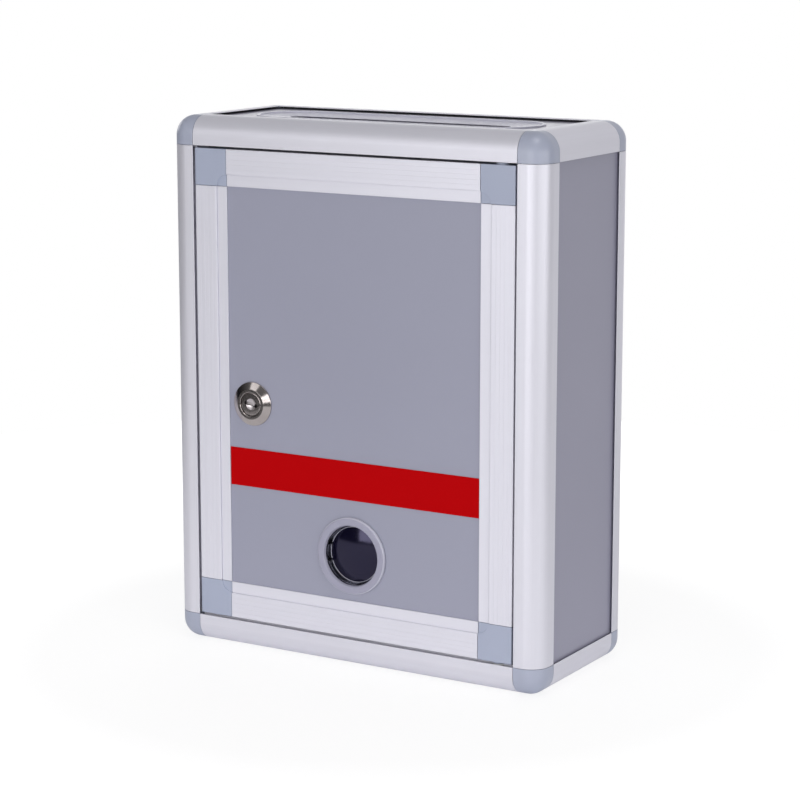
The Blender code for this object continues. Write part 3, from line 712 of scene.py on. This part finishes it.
def make_corner_caps():
    cap = cap_mesh()
    # The caps' panel slots get the same near-black painted shade
    mark_grooves(cap, Matrix(), 3)
    for level, z, up in (("bottom", cad_low.z, 1), ("top", cad_high.z, -1)):
        for row, inward in (("front", 1), ("rear", -1)):
            for side, x, across in (("left", cad_low.x, 1), ("right", cad_high.x, -1)):
                node = f"corner_{level}_{row}_{side}"
                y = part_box(node)[0 if inward > 0 else 1].y
                local_x, local_y = Vector((across, 0, 0)), Vector((0, inward, 0))
                if local_x.cross(local_y).z * up < 0:
                    local_x, local_y = local_y, local_x
                mesh = cap.copy()
                mesh.transform(axes((x, y, z), local_x, local_y))
                stands_for(finish_piece(node + "_detail", mesh, "corner seal", cap_seam_round), node)


def baked_tree(name, tree, mesh, values):
    """The plain mesh that a Geometry Nodes tree makes from a start mesh and named inputs."""
    source = loose_object(name, mesh)
    modifier = source.modifiers.new(name, "NODES")
    modifier.node_group = tree
    keys = {item.name: item.identifier for item in tree.interface.items_tree if item.in_out == "INPUT"}
    for key, value in values.items():
        modifier[keys[key]] = value
    result = evaluated_mesh(source)
    bpy.data.objects.remove(source)
    return result


def node_group(name, inputs):
    """A Geometry Nodes group with named inputs, its still empty tree, and its input node."""
    group = bpy.data.node_groups.new(name, "GeometryNodeTree")
    group.interface.new_socket("Geometry", in_out="OUTPUT", socket_type="NodeSocketGeometry")
    group.interface.new_socket("Geometry", in_out="INPUT", socket_type="NodeSocketGeometry")
    for key, kind in inputs.items():
        group.interface.new_socket(key, in_out="INPUT", socket_type="NodeSocket" + kind)
    tree = Tree(group)
    start = tree.add("NodeGroupInput")
    return group, tree, start


def end_tree(tree, geometry, material):
    """Ends a tree in real, smooth faces with their material."""
    real = tree.add("GeometryNodeRealizeInstances", None, {"Geometry": geometry})
    smooth = tree.add("GeometryNodeSetShadeSmooth", None, {"Geometry": real, "Shade Smooth": True})
    painted_faces = tree.add("GeometryNodeSetMaterial", None, {"Geometry": smooth, "Material": material})
    tree.add("NodeGroupOutput", None, {"Geometry": painted_faces})


def ridge_tree():
    """Low flat ridges side by side, with rounded edges, each along the local Z axis."""
    inputs = {"Length": "Float", "Pitch": "Float", "Count": "Int", "Width": "Float", "Height": "Float",
              "Material": "Material"}
    group, tree, start = node_group("frame_ridges", inputs)
    half_length = tree.add("ShaderNodeCombineXYZ", None, {"Z": 0.5 * start.out("Length")})
    other_half = tree.add("ShaderNodeCombineXYZ", None, {"Z": -0.5 * start.out("Length")})
    run = tree.add("GeometryNodeCurvePrimitiveLine", None, {"Start": other_half, "End": half_length})
    plate = tree.add("GeometryNodeCurvePrimitiveQuadrilateral", {"mode": "RECTANGLE"},
                     {"Width": start.out("Width"), "Height": 2.0 * start.out("Height")})
    section = tree.add("GeometryNodeFilletCurve", {"mode": "POLY"},
                       {"Curve": plate, "Radius": ridge_round_share * start.out("Height"),
                        "Count": ridge_round_steps})
    ridge = tree.add("GeometryNodeCurveToMesh", None,
                     {"Curve": run, "Profile Curve": section, "Fill Caps": True})
    step = tree.add("ShaderNodeCombineXYZ", None, {"X": start.out("Pitch")})
    line = tree.add("GeometryNodeMeshLine", {"mode": "OFFSET"},
                    {"Count": start.out("Count"), "Offset": step})
    rows = tree.add("GeometryNodeInstanceOnPoints", None, {"Points": line, "Instance": ridge})
    end_tree(tree, rows, start.out("Material"))
    return group


def thread_tree():
    """A screw thread: a small square on its corner, half sunk in the barrel, swept along a helix."""
    inputs = {"Radius": "Float", "Pitch": "Float", "Turns": "Float", "Depth": "Float",
              "Material": "Material"}
    group, tree, start = node_group("barrel_thread", inputs)
    rise = start.out("Pitch") * start.out("Turns")
    helix = tree.add("GeometryNodeCurveSpiral", None,
                     {"Resolution": thread_steps, "Rotations": start.out("Turns"),
                      "Start Radius": start.out("Radius"), "End Radius": start.out("Radius"),
                      "Height": rise})
    ridge = tree.add("GeometryNodeCurvePrimitiveCircle", {"mode": "RADIUS"},
                     {"Resolution": 4, "Radius": start.out("Depth")})
    swept = tree.add("GeometryNodeCurveToMesh", None,
                     {"Curve": helix, "Profile Curve": ridge, "Fill Caps": True})
    end_tree(tree, swept, start.out("Material"))
    return group


def insert_tree():
    """A closed section swept round a racetrack: the letter slot insert."""
    inputs = {"Slot Length": "Float", "Slot Width": "Float", "Material": "Material"}
    group, tree, start = node_group("slot_insert_sweep", inputs)
    track = tree.add("GeometryNodeCurvePrimitiveQuadrilateral", {"mode": "RECTANGLE"},
                     {"Width": start.out("Slot Length"), "Height": start.out("Slot Width")})
    half_width = start.out("Slot Width") * round_end_share
    path = tree.add("GeometryNodeFilletCurve", {"mode": "POLY"},
                    {"Curve": track, "Radius": half_width, "Count": insert_end_steps})
    section = tree.add("GeometryNodeMeshToCurve", None, {"Mesh": start.out("Geometry")})
    swept = tree.add("GeometryNodeCurveToMesh", None, {"Curve": path, "Profile Curve": section})
    end_tree(tree, swept, start.out("Material"))
    return group


def joined(name, meshes):
    """Several closed meshes in one, the faces of each with its own material number."""
    bm = bmesh.new()
    for number, mesh in enumerate(meshes):
        for face in mesh.polygons:
            face.material_index = number
        bm.from_mesh(mesh)
    result = bpy.data.meshes.new(name)
    bm.to_mesh(result)
    bm.free()
    return result


def frame_section(width, depth):
    """Section of a door frame member: a tube with a lower grooved edge for the door's sheet."""
    rear = frame_groove_back + frame_rear_lip
    line_floor = frame_lip_drop + frame_line
    outer = [(0, depth, lip_round), (0, ridge_height, frame_edge), (frame_flat, ridge_height, frame_edge),
             (frame_flat, line_floor, 0), (frame_flat + frame_line, line_floor, 0),
             (frame_flat + frame_line, frame_lip_drop, 0), (width, frame_lip_drop, frame_edge),
             (width, frame_groove_front, 0), (frame_flat, frame_groove_front, 0),
             (frame_flat, frame_groove_back, 0), (width, frame_groove_back, lip_round),
             (width, rear, lip_round), (frame_flat, rear, 0), (frame_flat, depth, lip_round)]
    far_x, far_y = frame_flat - frame_wall, depth - frame_wall
    chamber = [(frame_wall, frame_wall, 0), (far_x, frame_wall, 0), (far_x, far_y, 0), (frame_wall, far_y, 0)]
    return [rounded(outer), rounded(chamber)]


def make_door_frame():
    """The two stiles and two rails of the door, with their fine ridges."""
    ridges = ridge_tree()
    low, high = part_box("door_stile_left")
    width, depth = high.x - low.x, high.y - low.y
    section = frame_section(width, depth)
    door_left, door_right = low.x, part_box("door_stile_right")[1].x
    door_bottom, door_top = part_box("door_rail_bottom")[0].z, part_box("door_rail_top")[1].z
    members = {
        "door_stile_left": ((door_left, low.y, 0), (1, 0, 0), 2),
        "door_stile_right": ((door_right, low.y, 0), (-1, 0, 0), 2),
        "door_rail_bottom": ((0, low.y, door_bottom), (0, 0, 1), 0),
        "door_rail_top": ((0, low.y, door_top), (0, 0, -1), 0),
    }
    for node, (origin, inward, axis) in members.items():
        low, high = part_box(node)
        origin = Vector(origin)
        origin[axis] = (low[axis] + high[axis]) / 2
        length = high[axis] - low[axis] + 2 * joint_gap
        place = axes(origin, inward, (0, 1, 0))
        finish = "frame_" + "xyz"[axis]
        values = {"Length": length, "Pitch": ridge_pitch, "Count": ridge_count, "Width": ridge_width,
                  "Height": ridge_height, "Material": finishes[finish]}
        rows = baked_tree("ridges", ridges, bpy.data.meshes.new("start"), values)
        first = (frame_flat - ridge_pitch * (ridge_count - 1)) / 2
        rows.transform(place @ Matrix.Translation((first, ridge_height, 0)))
        tube = prism(node + "_tube", section, place, length)
        stands_for(finish_piece(node + "_detail", joined(node + "_mesh", [tube, rows]), finish), node)


def make_slot_insert():
    """The oval insert in the top, swept by Geometry Nodes."""
    node = "slot_insert"
    low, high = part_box(node)
    top = high.z
    rim_inside = insert_half_width - insert_rim
    wall = insert_half_width - insert_ledge
    dish_top, dish_low = top - insert_rim_drop, top - insert_dish_drop
    flange_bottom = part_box("panel_top")[1].z + joint_gap
    corners = [(insert_half_width, top, insert_round), (insert_half_width, flange_bottom, 0),
               (wall, flange_bottom, 0), (wall, dish_low - insert_floor, 0),
               (skirt_offset + skirt_wall, dish_low - insert_floor, 0),
               (skirt_offset + skirt_wall, low.z, insert_round), (skirt_offset, low.z, insert_round),
               (skirt_offset, dish_low - insert_floor, 0), (slot_half_width, dish_low - slot_edge, 0),
               (slot_half_width, dish_low, slot_edge / 2)]
    run = (rim_inside - slot_half_width) / (insert_step_count + 1)
    rise = (dish_top - dish_low) / (insert_step_count + 1)
    for i in range(1, insert_step_count + 1):
        level = dish_low + rise * i
        reach = slot_half_width + run * i
        corners += [(reach - insert_step, level - insert_step, 0), (reach, level, 0)]
    corners += [(rim_inside, dish_top, 0), (rim_inside, top, insert_round)]
    outline = [(reach - slot_half_width, level) for reach, level in rounded(corners)]
    count = len(outline)
    section = bpy.data.meshes.new("insert_section")
    section.from_pydata([(reach, -level, 0) for reach, level in outline],
                        [(i, (i + 1) % count) for i in range(count)], [])
    slot_length = high.x - low.x - 2 * (insert_half_width - slot_half_width)
    values = {"Slot Length": slot_length, "Slot Width": 2 * slot_half_width, "Material": finishes["insert"]}
    swept = baked_tree("insert", insert_tree(), section, values)
    swept.transform(Matrix.Translation((0, (low.y + high.y) / 2, 0)))
    bm = bmesh.new()
    bm.from_mesh(swept)
    mesh = cleaned(bm, "insert_mesh")
    stands_for(finish_piece(node + "_detail", mesh, "insert"), node)


def make_door_corners():
    """The four corner blocks of the door, each with a lower round step at its inner corner and two plugs."""
    frame_low, frame_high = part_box("door_stile_left")
    width, depth = frame_high.x - frame_low.x, frame_high.y - frame_low.y
    door_low, door_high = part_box("door_rail_bottom")[0].z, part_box("door_rail_top")[1].z
    inset = frame_wall + joint_gap
    near, far = inset + joint_gap, frame_flat - inset
    for level, up in (("top", -1), ("bottom", 1)):
        for side, across in (("left", 1), ("right", -1)):
            node = f"door_corner_{level}_{side}"
            low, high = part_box(node)
            edge = door_low if up > 0 else door_high
            corner = Vector((low.x if across > 0 else high.x, frame_low.y, edge))
            place = Matrix.Translation(corner) @ Matrix.Diagonal((across, 1, up, 1))
            block = box_mesh("block", (0, 0, 0), (width, depth, width))
            plug_end = width + block_plug_length
            plugs = [box_mesh("plug", (near, inset, width - near), (far, depth - inset, plug_end)),
                     box_mesh("plug", (width - near, inset, near), (plug_end, depth - inset, far))]
            step = cylinder_mesh("step", block_step_radius, 0, 2 * frame_lip_drop)
            step.transform(Matrix.Translation((width, 0, width)) @ Matrix.Rotation(math.pi / 2, 4, "X"))
            cut = step.copy()
            cut.transform(Matrix.Translation((0, frame_lip_drop, 0)))
            slot = box_mesh("slot", (frame_flat, frame_groove_front, frame_flat),
                            (2 * width, frame_groove_back, 2 * width))
            mesh = carved(block, [cut, slot], plugs)
            mesh.transform(place)
            if across * up < 0:
                mesh.flip_normals()
            if across < 0:
                mesh = with_boss(mesh, level, up)
            stands_for(finish_piece(node + "_detail", mesh, "door_corner", block_edge), node)


def with_boss(block, level, up):
    """The block with the round boss that fills the door's gap, drilled for its pivot pin."""
    block_low, block_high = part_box(f"door_corner_{level}_right")
    low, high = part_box("hinge_pin_" + level)
    boss_end = block_low.z if up > 0 else block_high.z
    inner, outer = sorted((boss_end, boss_end + up * pivot_boss_depth))
    boss = cylinder_mesh("boss", pivot_boss_radius, inner, outer)
    hole = cylinder_mesh("hole", (high.x - low.x) / 2 + joint_gap, low.z - joint_gap, high.z + joint_gap)
    for part in (boss, hole):
        part.transform(Matrix.Translation(((low.x + high.x) / 2, (low.y + high.y) / 2, 0)))
    return carved(block, [hole], [boss])


def make_panels():
    for node in ("panel_left", "panel_right", "panel_back", "panel_bottom"):
        refined(node, "panel", sheet_edge)
    # The top's paint is paler than the other panels': painted light
    refined("panel_top", "top_panel", sheet_edge)
    refined("door_panel", "door_panel", sheet_edge)
    refined("red_band", "band", band_edge)


def arch(radius, height, level):
    """Points of (radius, height) on a shallow round arch from the axis out to a radius and a level. A height
    below zero makes a dish."""
    bend = (radius ** 2 + height ** 2) / (2 * height)
    reach = math.asin(radius / abs(bend))
    steps = max(least_arch_steps, round(reach / fine_turn))
    points = []
    for k in range(steps + 1):
        turn = reach * k / steps
        points.append((abs(bend) * math.sin(turn), level + height - bend * (1 - math.cos(turn))))
    return points


def make_window():
    """The clear ring with its sprung tabs and its two pale edges, which are painted highlights, and the lens
    at its back, dark with painted shade.
    """
    low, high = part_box("window_ring")
    sheet_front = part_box("door_panel")[0].y
    x, z = (low.x + high.x) / 2, (low.z + high.z) / 2
    seat = sheet_front - low.y - window_flange_thickness
    front = seat + window_flange_thickness
    shoulder, collar_end = front - window_throat_depth, front - window_collar_depth
    bead = seat - (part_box("door_panel")[1].y - sheet_front) - 2 * seat
    slope = (window_mouth_radius - window_throat_radius) / window_throat_depth
    neck = window_mouth_radius - slope * window_flange_thickness
    flange_corners = [(window_mouth_radius, front, window_mouth_round),
                      (window_flange_radius, front, window_flange_round),
                      (window_flange_radius, seat, 0), (neck, seat, 0)]
    corners = [(neck, seat - hair, 0), (window_collar_radius, seat - hair, 0),
               (window_collar_radius, bead, 0), (window_collar_radius + window_bead, bead, 0),
               (window_collar_radius, bead - window_bead_height, 0),
               (window_collar_radius, collar_end, window_collar_round),
               (lens_pocket_radius, collar_end, window_collar_round), (lens_pocket_radius, shoulder, 0),
               (window_throat_radius, shoulder, window_throat_round)]
    place = facing_front(x, sheet_front, z)
    collar = turned_mesh("collar", rounded(corners), place)
    flange = turned_mesh("flange", rounded(flange_corners), place)
    cuts = []
    for x_side in (-1, 1):
        for z_side in (-1, 1):
            near, far = sorted((x_side * (window_throat_radius - window_bead), x_side * window_flange_radius))
            middle = z + z_side * (tab_width + tab_slit) / 2
            cuts.append(box_mesh("slit", (x + near, sheet_front + seat, middle - tab_slit / 2),
                                 (x + far, sheet_front + window_collar_depth, middle + tab_slit / 2)))
    lip_corners = [(window_throat_radius - hair, shoulder + window_lip, window_lip_round),
                   (window_throat_radius + window_lip, shoulder + window_lip, window_lip_round),
                   (window_throat_radius + window_lip, shoulder + hair, 0),
                   (window_throat_radius - hair, shoulder + hair, 0)]
    lip = turned_mesh("lip", rounded(lip_corners), place)
    ring = joined("window_ring_mesh", [carved(collar, cuts), flange, carved(lip, cuts)])
    # The flange's outer rim gets the pale finish, a painted highlight
    for face in ring.polygons:
        if math.hypot(face.center.x - x, face.center.z - z) > window_flange_radius - flange_highlight_edge:
            face.material_index = 2
    stands_for(finish_piece("window_ring_detail", ring, "clear flange lip"), "window_ring")
    make_lens(x, z)


def make_lens(x, z):
    """The dark lens: a disc with a shallow dome in front."""
    low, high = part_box("window_lens")
    radius, back = (high.x - low.x) / 2, high.y
    rim = back - low.y
    profile = arch(radius, lens_dome, rim)
    profile += [(radius, hair), (radius - hair, 0), (0, 0)]
    lens = turned_mesh("lens", profile, facing_front(x, back, z), closed=False)
    stands_for(finish_piece("window_lens_detail", lens, "lens"), "window_lens")


def make_lock():
    """The cam lock: bezel and threaded barrel, nut, plug with its keyway, cam, washer and screw."""
    low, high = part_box("lock_barrel")
    sheet_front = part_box("door_panel")[0].y
    x, z = (low.x + high.x) / 2, (low.z + high.z) / 2
    place = facing_front(x, sheet_front, z)
    face, end = sheet_front - low.y, sheet_front - high.y
    seat = 2 * joint_gap
    thread_root = barrel_radius - thread_depth
    corners = [(barrel_bore, face, bezel_round), (bezel_face_radius, face, bezel_round),
               (bezel_radius, seat + bezel_rim, bezel_round), (bezel_radius, seat, 0),
               (thread_root, seat, 0), (thread_root, end, bezel_round), (barrel_bore, end, 0)]
    shell = turned_mesh("barrel", rounded(corners), place)
    turns = math.floor((-end - thread_clearance) / thread_pitch)
    values = {"Radius": thread_root, "Pitch": thread_pitch, "Turns": float(turns), "Depth": thread_depth,
              "Material": finishes["chrome"]}
    thread = baked_tree("thread", thread_tree(), bpy.data.meshes.new("start"), values)
    thread.transform(place @ Matrix.Translation((0, 0, end + thread_depth)))
    barrel = joined("barrel_mesh", [shell, thread])
    stands_for(finish_piece("lock_barrel_detail", barrel, "chrome"), "lock_barrel")
    make_plug(place, face, end)
    refined("lock_nut", "steel", nut_edge)
    for node in ("lock_cam", "cam_washer", "cam_screw"):
        refined(node, "steel", small_edge)


def make_plug(place, bezel_front, end):
    """The plug: its dished face, its square tail, and the keyway with a wafer that shows in it."""
    low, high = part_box("lock_plug")
    radius = (high.x - low.x) / 2
    front = bezel_front - (low.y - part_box("lock_barrel")[0].y)
    tail_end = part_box("door_panel")[0].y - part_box("lock_plug")[1].y
    corners = [(x, y, 0) for x, y in arch(dish_radius, -dish_depth, front)]
    corners += [(radius, front, plug_round), (radius, end, 0), (0, end, 0)]
    turned = turned_mesh("plug", rounded(corners), Matrix(), closed=False)
    half = plug_tail_half_width
    tail = box_mesh("tail", (-half, -half, tail_end), (half, half, end + half))
    half_length, half_width = keyway_length / 2, keyway_width / 2
    key = box_mesh("keyway", (-half_length, -half_width, front - keyway_depth),
                   (half_length, half_width, front + keyway_width))
    wafer = box_mesh("wafer", (-half_length - hair, -half_width - hair, front - keyway_depth),
                     (wafer_reach, half_width + hair, front - wafer_drop))
    for part in (key, wafer):
        part.transform(Matrix.Rotation(-keyway_tilt, 4, "Z"))
    plug = joined("plug_mesh", [carved(turned, [key], [tail]), wafer])
    unturned = Matrix.Rotation(keyway_tilt, 3, "Z")
    # Faces inside the keyway get the dark finish, a painted shade; the dished faces get the satin finish
    for face in plug.polygons:
        spot = unturned @ face.center
        inside = abs(spot.x) < half_length + hair and abs(spot.y) < half_width + hair
        dished = face.normal.z > 0.5 and math.hypot(face.center.x, face.center.y) < dish_radius
        if not face.material_index:
            face.material_index = 2 if inside else int(dished)
    plug.transform(place)
    stands_for(finish_piece("lock_plug_detail", plug, "chrome satin shade"), "lock_plug")


def make_pivots():
    for level in ("top", "bottom"):
        refined("hinge_pin_" + level, "steel", small_edge)
        refined("hinge_bush_" + level, "bush", small_edge)


def make_floor():
    """A pale round light table. To the camera it is nearly white, and it keeps a soft shadow."""
    material, tree, shader = new_finish("floor_finish", Roughness=0.9, Emission_Color=(1.0, 1.0, 1.0, 1.0))
    rays = tree.add("ShaderNodeLightPath")
    seen = rays.out("Is Camera Ray").at_least(rays.out("Is Transmission Ray"))
    grain = tree.noise((40.0, 40.0, 40.0), detail=3.0)
    own = tree.tint(grain, floor_dark, floor_pale)
    own_place = tree.place((1.0, 1.0, 1.0))
    reach = tree.add("ShaderNodeVectorMath", {"operation": "LENGTH"}, {0: own_place}).out("Value")
    far = ((reach - floor_fade_start) / floor_fade_length).at_least(0.0).at_most(1.0)
    seen_glow = floor_seen_glow + floor_edge_glow * far
    feed(tree, shader,
         Base_Color=tree.tint(seen, own, (floor_seen_base, floor_seen_base, floor_seen_base, 1.0)),
         Emission_Strength=floor_light + (seen_glow - floor_light) * seen)
    bm = bmesh.new()
    bmesh.ops.create_circle(bm, cap_ends=True, segments=large_steps, radius=floor_radius)
    floor = loose_object("floor", cleaned(bm, "floor"))
    floor.data.materials.append(material)


def make_world():
    """Soft surroundings: light from the given sides, and plain white to the camera."""
    world = bpy.data.worlds.new("studio")
    world.use_nodes = True
    bpy.context.scene.world = world
    world.node_tree.nodes.clear()
    tree = Tree(world.node_tree)
    ray = tree.add("ShaderNodeTexCoord").out("Generated")
    split = tree.add("ShaderNodeSeparateXYZ", None, {"Vector": ray})
    strength = 0.0
    for axis, (low_light, high_light) in room_light.items():
        side = split.out(axis)
        strength = strength + high_light * side.at_least(0.0) ** 2.0
        strength = strength + low_light * (-1.0 * side).at_least(0.0) ** 2.0
    white_share = tree.add("ShaderNodeLightPath").out("Is Camera Ray")
    room = tree.add("ShaderNodeBackground", None, {"Color": room_colour, "Strength": strength})
    white = tree.add("ShaderNodeBackground", None, {"Color": (1.0, 1.0, 1.0, 1.0), "Strength": 1.0})
    mixed = tree.add("ShaderNodeMixShader", None, {0: white_share, 1: room, 2: white})
    tree.add("ShaderNodeOutputWorld", None, {"Surface": mixed})


def add_lamp(name, turn, height, size, power):
    """A soft lamp of a width and height that looks at the object from a turn and a height in degrees."""
    lamp = bpy.data.lights.new(name, "AREA")
    lamp.shape = "RECTANGLE"
    lamp.size, lamp.size_y = size
    lamp.energy = power
    item = loose_object(name, lamp)
    turn, height = math.radians(turn), math.radians(height)
    away = Vector((math.sin(turn) * math.cos(height), -math.cos(turn) * math.cos(height), math.sin(height)))
    item.location = Vector((0, 0, (cad_low.z + cad_high.z) / 2)) + away * lamp_distance
    item.rotation_euler = (-away).to_track_quat("-Z", "Y").to_euler()


def make_lamps():
    add_lamp("front_lamp", -5, 6, (1.20, 0.70), 8.5)
    add_lamp("front_right_lamp", 26, 8, (0.40, 0.45), 1.2)
    add_lamp("side_lamp", 64, 6, (1.30, 0.42), 5.4)
    add_lamp("far_side_lamp", 88, 6, (0.60, 0.45), 2.2)
    add_lamp("left_lamp", -30, 28, (0.65, 0.60), 1.5)
    add_lamp("far_left_lamp", -110, 14, (0.50, 0.50), 1.6)
    add_lamp("rear_lamp", -148, 12, (1.00, 0.40), 1.6)
    add_lamp("top_lamp", 40, 70, (0.50, 0.50), 3.6)


def make_camera():
    """The camera at the photograph's view: its place, direction and lens."""
    camera = bpy.data.cameras.new("camera")
    camera.sensor_width = camera_sensor
    camera.lens = camera_lens
    camera.clip_start = camera_clip
    item = loose_object("camera", camera)
    item.location = camera_place
    level = math.cos(camera_tilt)
    look = Vector((-math.sin(camera_turn) * level, math.cos(camera_turn) * level, -math.sin(camera_tilt)))
    item.rotation_euler = look.to_track_quat("-Z", "Y").to_euler()
    bpy.context.scene.camera = item


make_profiles()
make_corner_caps()
make_door_frame()
make_door_corners()
make_panels()
make_slot_insert()
make_window()
make_lock()
make_pivots()
make_floor()
make_world()
make_lamps()
make_camera()
bpy.context.scene.view_settings.view_transform = "Standard"
